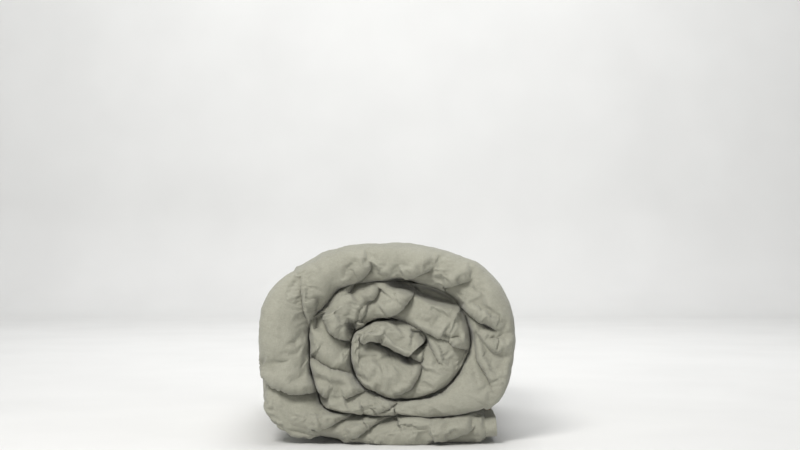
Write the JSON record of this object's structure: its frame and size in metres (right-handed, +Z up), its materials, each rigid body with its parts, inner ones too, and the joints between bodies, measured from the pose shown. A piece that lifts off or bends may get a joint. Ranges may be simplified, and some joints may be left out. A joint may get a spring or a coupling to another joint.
{
  "type": "rolled duvet",
  "caption": "Duvet in a plain buttoned linen-cotton cover, folded once along its length and rolled into a soft oblong spiral.",
  "frame": {"origin": "middle of the footprint, on the floor that the roll lies on", "axes": "+Z up; +Y along the roll's axis, from the folded edge at the front to the side seams at the back; the tail lies at +X"},
  "size_m": [0.4676, 0.6979, 0.3562],
  "materials": {
    "cover_face": "matte",
    "cover_reverse": "matte",
    "hem": "matte",
    "insert_shell": "matte",
    "filling": "matte",
    "button": "satin",
    "tape": "matte"
  },
  "bodies": {
    "tail": {"button_1": "button", "button_2": "button", "button_3": "button", "button_4": "button", "button_5": "button", "button_6": "button", "button_band": "hem", "buttonhole_band": "hem", "care_label": "tape", "corner_tie_1": "tape", "corner_tie_2": "tape", "cover_face_tail": "cover_face", "cover_reverse_tail": "cover_reverse", "filling_tail": "filling", "insert_shell_tail": "insert_shell"},
    "length_1": {"cover_face_length_1": "cover_face", "cover_reverse_length_1": "cover_reverse", "filling_length_1": "filling", "insert_shell_length_1": "insert_shell"},
    "length_2": {"cover_face_length_2": "cover_face", "cover_reverse_length_2": "cover_reverse", "filling_length_2": "filling", "insert_shell_length_2": "insert_shell"},
    "length_3": {"cover_face_length_3": "cover_face", "cover_reverse_length_3": "cover_reverse", "filling_length_3": "filling", "insert_shell_length_3": "insert_shell"},
    "length_4": {"cover_face_length_4": "cover_face", "cover_reverse_length_4": "cover_reverse", "filling_length_4": "filling", "insert_shell_length_4": "insert_shell"},
    "length_5": {"cover_face_length_5": "cover_face", "cover_reverse_length_5": "cover_reverse", "filling_length_5": "filling", "insert_shell_length_5": "insert_shell"},
    "length_6": {"cover_face_length_6": "cover_face", "cover_reverse_length_6": "cover_reverse", "filling_length_6": "filling", "insert_shell_length_6": "insert_shell"},
    "roll": {"corner_tie_3": "tape", "corner_tie_4": "tape", "cover_face_roll": "cover_face", "cover_reverse_roll": "cover_reverse", "filling_pocket_1": "filling", "filling_pocket_2": "filling", "filling_pocket_3": "filling", "filling_pocket_4": "filling", "filling_pocket_5": "filling", "filling_pocket_6": "filling", "filling_pocket_7": "filling", "filling_pocket_8": "filling", "filling_pocket_9": "filling", "insert_shell_roll": "insert_shell"}
  },
  "joints": [
    {"name": "unroll_1", "type": "hinge", "parent": "tail", "child": "length_1", "pos_m": [-0.0353, 0, 0.00061], "axis": [0, -1, 0], "range_deg": [0, 9.57]},
    {"name": "unroll_2", "type": "hinge", "parent": "length_1", "child": "length_2", "pos_m": [-0.11099, 0, 0.014], "axis": [0, -1, 0], "range_deg": [0, 14.37]},
    {"name": "unroll_3", "type": "hinge", "parent": "length_2", "child": "length_3", "pos_m": [-0.18887, 0, 0.04933], "axis": [0, -1, 0], "range_deg": [0, 14.47]},
    {"name": "unroll_4", "type": "hinge", "parent": "length_3", "child": "length_4", "pos_m": [-0.22282, 0, 0.07669], "axis": [0, -1, 0], "range_deg": [0, 39.67]},
    {"name": "unroll_5", "type": "hinge", "parent": "length_4", "child": "length_5", "pos_m": [-0.23369, 0, 0.13026], "axis": [0, -1, 0], "range_deg": [0, 12.48]},
    {"name": "unroll_6", "type": "hinge", "parent": "length_5", "child": "length_6", "pos_m": [-0.23217, 0, 0.21646], "axis": [0, -1, 0], "range_deg": [0, 16.47]},
    {"name": "unroll_7", "type": "hinge", "parent": "length_6", "child": "roll", "pos_m": [-0.21406, 0, 0.27396], "axis": [0, -1, 0], "range_deg": [0, 28.61]}
  ],
  "couplings": [
    {"joint": "unroll_2", "follows": "unroll_1", "ratio": 1.501},
    {"joint": "unroll_3", "follows": "unroll_1", "ratio": 1.5119},
    {"joint": "unroll_4", "follows": "unroll_1", "ratio": 4.1447},
    {"joint": "unroll_5", "follows": "unroll_1", "ratio": 1.304},
    {"joint": "unroll_6", "follows": "unroll_1", "ratio": 1.7208},
    {"joint": "unroll_7", "follows": "unroll_1", "ratio": 2.9895}
  ]
}
